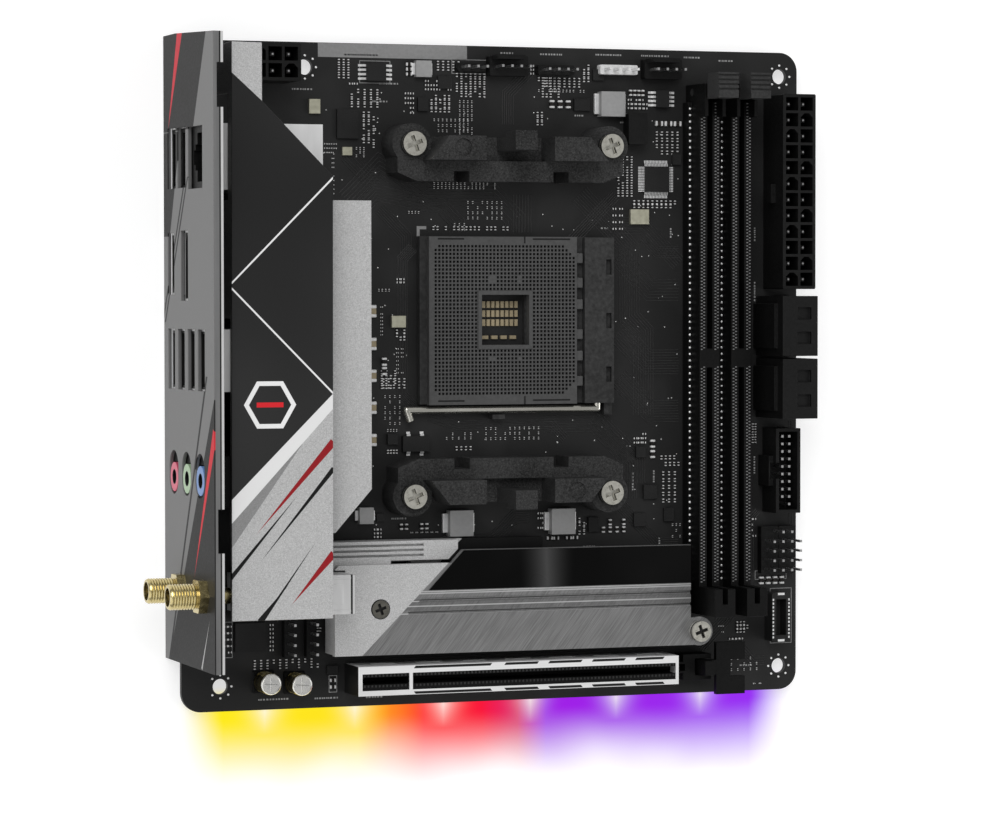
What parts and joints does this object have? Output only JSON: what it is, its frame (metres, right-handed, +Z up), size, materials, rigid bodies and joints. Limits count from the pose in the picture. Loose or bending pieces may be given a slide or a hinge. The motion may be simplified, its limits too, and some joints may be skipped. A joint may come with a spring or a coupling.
{
  "type": "mini itx motherboard",
  "caption": "Small square computer mainboard with rear port panel, covered voltage regulator, processor socket, memory and expansion slots, lit lower edge.",
  "frame": {"origin": "middle of the footprint, level with the underside of the backplate, on which the board rests", "axes": "+X from the rear port panel to the opposite edge, +Y from the expansion slot edge to the top edge, +Z up out of the component face"},
  "size_m": [0.1826, 0.171, 0.0472],
  "materials": {
    "board_mask": "matte black solder mask over glass fibre",
    "backplate_steel": "black painted steel",
    "insulating_film": "matte black polyester film",
    "socket_plastic": "moulded dark grey plastic",
    "contact_gold": "gold flash",
    "lever_steel": "nickel plated wire",
    "ceramic": "ceramic with tinned ends",
    "bracket_plastic": "glass filled black plastic, lightly speckled",
    "screw_nickel": "nickel plated",
    "panel_print": "satin printed sheet steel, grey with slanted stripes",
    "shroud_print": "printed black and blasted silver panels",
    "blasted_aluminium": "bead blasted, clear anodised",
    "thermal_pad": "soft silicone pad",
    "choke_grey": "pressed iron powder",
    "port_steel": "nickel plated sheet",
    "port_plastic": "black moulded insert",
    "jack_pink": "pink moulded ring",
    "jack_green": "green moulded ring",
    "jack_blue": "blue moulded ring",
    "antenna_gold": "gold plated brass",
    "bracket_steel": "black plated steel",
    "card_green": "green solder mask",
    "brushed_aluminium": "slant brushed and blasted, anodised grey",
    "gloss_black": "piano black",
    "slot_plastic": "black moulded liquid crystal polymer",
    "armour_steel": "bright rolled steel",
    "connector_plastic": "black moulded nylon",
    "pin_tin": "tin plated",
    "white_plastic": "white moulded nylon",
    "capacitor_can": "silver can with a champagne sleeve",
    "package_black": "moulded epoxy",
    "crystal_can": "nickel plated can",
    "battery_sleeve": "black shrink sleeve",
    "led_lens": "clear resin over coloured emitters"
  },
  "bodies": {
    "board": {"pcb": "board_mask", "backplate": "backplate_steel", "backplate_film": "insulating_film", "socket_base": "socket_plastic", "socket_contacts": "contact_gold", "socket_capacitors": "ceramic", "cooler_bracket_upper": "bracket_plastic", "cooler_bracket_lower": "bracket_plastic", "bracket_screws": "screw_nickel", "rear_panel": "panel_print", "rear_panel_rim": "panel_print", "port_shroud": "shroud_print", "vrm_heatsink": "blasted_aluminium", "thermal_pads": "thermal_pad", "heatsink_screws": "screw_nickel", "lan_usb_shell": "port_steel", "hdmi_shell": "port_steel", "display_port_shell": "port_steel", "usb_shell": "port_steel", "port_inserts": "port_plastic", "audio_housing": "port_plastic", "microphone_jack": "jack_pink", "line_out_jack": "jack_green", "line_in_jack": "jack_blue", "antenna_jacks": "antenna_gold", "antenna_nuts": "antenna_gold", "antenna_bracket": "bracket_steel", "wifi_card": "card_green", "wifi_bracket": "port_steel", "chipset": "card_green", "chipset_heatsink": "brushed_aluminium", "m2_sockets": "slot_plastic", "m2_cover": "brushed_aluminium", "m2_gloss_plate": "gloss_black", "m2_screws": "screw_nickel", "m2_standoffs": "screw_nickel", "pcie_slot": "slot_plastic", "pcie_armour": "armour_steel", "dimm_slot_a": "slot_plastic", "dimm_slot_b": "slot_plastic", "atx24_connector": "connector_plastic", "atx12v_connector": "connector_plastic", "power_pins": "pin_tin", "sata_ports": "connector_plastic", "usb3_header": "connector_plastic", "header_bases": "connector_plastic", "header_pins": "pin_tin", "light_header": "white_plastic", "type_c_header": "bracket_steel", "electrolytic_capacitors": "capacitor_can", "inductors": "choke_grey", "chips": "package_black", "crystals": "crystal_can", "battery": "battery_sleeve", "edge_leds": "led_lens"},
    "socket_cover": {"socket_cover": "socket_plastic"},
    "socket_lever": {"socket_lever": "lever_steel"},
    "dimm_latch_a": {"dimm_latch_a": "slot_plastic"},
    "dimm_latch_b": {"dimm_latch_b": "slot_plastic"},
    "pcie_latch": {"pcie_latch": "slot_plastic"}
  },
  "joints": [
    {"name": "lever_hinge", "type": "hinge", "parent": "board", "child": "socket_lever", "pos_m": [0.03316, 0.0135, 0.00617], "axis": [0, 1, 0], "range_deg": [0, 95]},
    {"name": "cover_slide", "type": "slide", "parent": "board", "child": "socket_cover", "axis": [-1, 0, 0], "range_m": [0, 0.0012]},
    {"name": "latch_a_hinge", "type": "hinge", "parent": "board", "child": "dimm_latch_a", "pos_m": [0.06216, 0.0735, 0.00787], "axis": [-1, 0, 0], "range_deg": [0, 30]},
    {"name": "latch_b_hinge", "type": "hinge", "parent": "board", "child": "dimm_latch_b", "pos_m": [0.07126, 0.0735, 0.00787], "axis": [-1, 0, 0], "range_deg": [0, 30]},
    {"name": "slot_latch_hinge", "type": "hinge", "parent": "board", "child": "pcie_latch", "pos_m": [0.06166, -0.07805, 0.00727], "axis": [0, 1, 0], "range_deg": [0, 18]}
  ],
  "couplings": [
    {"joint": "cover_slide", "follows": "lever_hinge", "m_per_rad": 0.00072}
  ]
}
